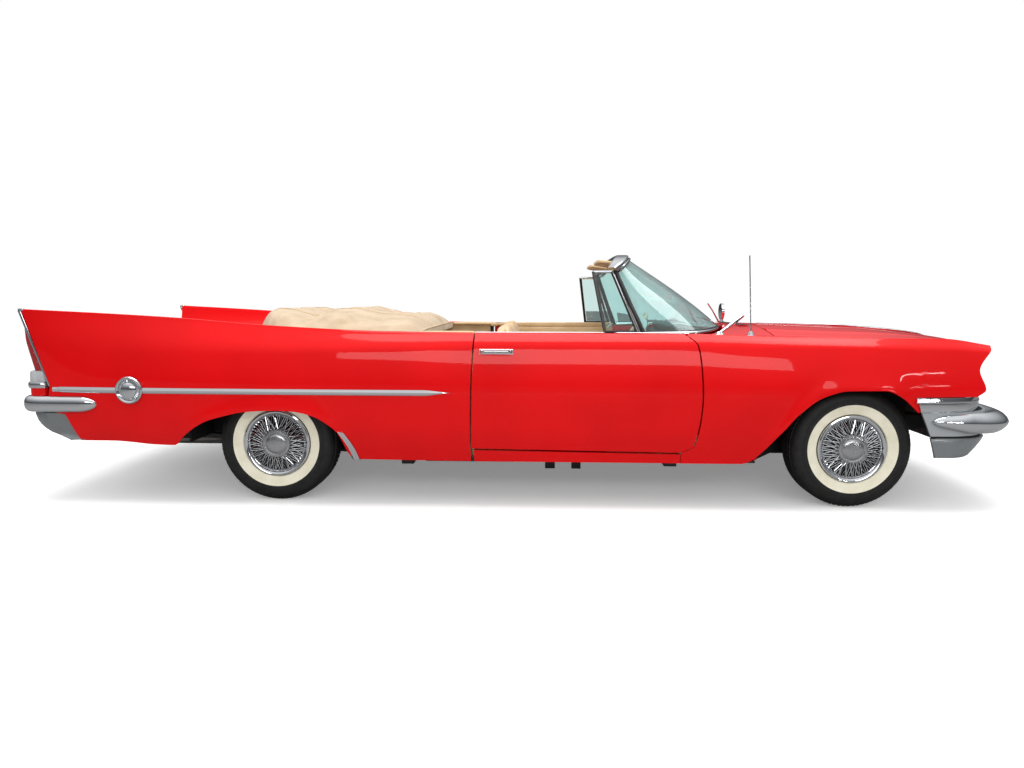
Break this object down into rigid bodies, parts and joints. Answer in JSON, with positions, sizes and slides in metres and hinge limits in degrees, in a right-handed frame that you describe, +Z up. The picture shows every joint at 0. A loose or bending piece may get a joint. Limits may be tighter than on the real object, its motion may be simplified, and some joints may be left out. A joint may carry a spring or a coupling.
{
  "type": "two-door open-top car",
  "caption": "Late 1950s two-door open-top car with tail fins: opening doors, hood and boot lid, steered front wheels, rolling wheels and a folded roof under a cloth cover.",
  "frame": {"origin": "on the floor, under the middle of the car's bounding box", "axes": "+X forward, +Y to the car's left, +Z up"},
  "size_m": [5.5656, 2.002, 1.4223],
  "materials": {
    "red_paint": "gloss",
    "chrome": "polished",
    "silver_paint": "metallic gloss",
    "chassis_black": "satin",
    "floor_grey": "satin",
    "lamp_glass": "ribbed",
    "red_lens": "gloss",
    "clear_glass": "clear with a slight tint",
    "tan_leather": "grained",
    "tan_cloth": "woven",
    "tan_trim": "woven",
    "engine_iron": "painted",
    "exhaust_steel": "dull",
    "tank_grey": "satin",
    "brake_iron": "machined",
    "cream_plastic": "gloss",
    "tyre_rubber": "matt, with a cream band",
    "wheel_chrome": "polished"
  },
  "bodies": {
    "body": {"chassis_frame": "chassis_black", "floor_pan": "floor_grey", "firewall_cowl": "red_paint", "wheelhouses": "chassis_black", "front_fenders": "red_paint", "rear_quarters": "red_paint", "sills": "red_paint", "nose_panel": "red_paint", "tail_panel": "red_paint", "lower_pans": "silver_paint", "front_bumper": "chrome", "rear_bumper": "chrome", "grille": "chrome", "head_lamps": "lamp_glass", "tail_lamps": "red_lens", "body_trim": "chrome", "windscreen_frame": "chrome", "windscreen_glass": "clear_glass", "dashboard": "red_paint", "front_seat": "tan_leather", "rear_seat": "tan_leather", "top_cover": "tan_cloth", "cabin_trim": "tan_trim", "engine": "engine_iron", "running_gear": "chassis_black", "rear_axle": "chassis_black", "exhaust": "exhaust_steel", "fuel_tank": "tank_grey", "fender_fittings": "chrome"},
    "hood": {"hood": "red_paint"},
    "boot_lid": {"boot_lid": "red_paint"},
    "door_right": {"door_right": "red_paint", "door_trim_right": "tan_leather", "door_chrome_right": "chrome", "vent_glass_right": "clear_glass"},
    "door_left": {"door_left": "red_paint", "door_trim_left": "tan_leather", "door_chrome_left": "chrome", "vent_glass_left": "clear_glass"},
    "knuckle_right": {"knuckle_right": "brake_iron"},
    "knuckle_left": {"knuckle_left": "brake_iron"},
    "steering_wheel": {"steering_wheel": "cream_plastic"},
    "front_right_wheel": {"tyre_front_right": "tyre_rubber", "wheel_front_right": "wheel_chrome"},
    "front_left_wheel": {"tyre_front_left": "tyre_rubber", "wheel_front_left": "wheel_chrome"},
    "rear_right_wheel": {"tyre_rear_right": "tyre_rubber", "wheel_rear_right": "wheel_chrome"},
    "rear_left_wheel": {"tyre_rear_left": "tyre_rubber", "wheel_rear_left": "wheel_chrome"}
  },
  "joints": [
    {"name": "door_right_hinge", "type": "hinge", "parent": "body", "child": "door_right", "pos_m": [0.972, -0.996, 0.6], "axis": [0, 0, 1], "range_deg": [0, 65]},
    {"name": "door_left_hinge", "type": "hinge", "parent": "body", "child": "door_left", "pos_m": [0.972, 0.996, 0.6], "axis": [0, 0, -1], "range_deg": [0, 65]},
    {"name": "hood_hinge", "type": "hinge", "parent": "body", "child": "hood", "pos_m": [1.438, 0, 0.994], "axis": [0, -1, 0], "range_deg": [0, 50]},
    {"name": "boot_lid_hinge", "type": "hinge", "parent": "body", "child": "boot_lid", "pos_m": [-1.786, 0, 0.96], "axis": [0, 1, 0], "range_deg": [0, 70]},
    {"name": "steer_left", "type": "hinge", "parent": "body", "child": "knuckle_left", "pos_m": [1.816, 0.69, 0.332], "axis": [0, 0, 1], "range_deg": [-32, 32]},
    {"name": "steer_right", "type": "hinge", "parent": "body", "child": "knuckle_right", "pos_m": [1.816, -0.69, 0.332], "axis": [0, 0, 1], "range_deg": [-32, 32]},
    {"name": "steering_wheel_turn", "type": "hinge", "parent": "body", "child": "steering_wheel", "pos_m": [0.76, 0.4, 0.88], "axis": [-0.848, 0, 0.5299], "range_deg": [-480, 480]},
    {"name": "front_right_spin", "type": "hinge", "parent": "knuckle_right", "child": "front_right_wheel", "pos_m": [1.816, -0.777, 0.332], "axis": [0, 1, 0], "continuous": true},
    {"name": "front_left_spin", "type": "hinge", "parent": "knuckle_left", "child": "front_left_wheel", "pos_m": [1.816, 0.777, 0.332], "axis": [0, 1, 0], "continuous": true},
    {"name": "rear_right_spin", "type": "hinge", "parent": "body", "child": "rear_right_wheel", "pos_m": [-1.384, -0.762, 0.332], "axis": [0, 1, 0], "continuous": true},
    {"name": "rear_left_spin", "type": "hinge", "parent": "body", "child": "rear_left_wheel", "pos_m": [-1.384, 0.762, 0.332], "axis": [0, 1, 0], "continuous": true}
  ],
  "couplings": [
    {"joint": "steer_right", "follows": "steer_left", "ratio": 1},
    {"joint": "steering_wheel_turn", "follows": "steer_left", "ratio": 15}
  ]
}
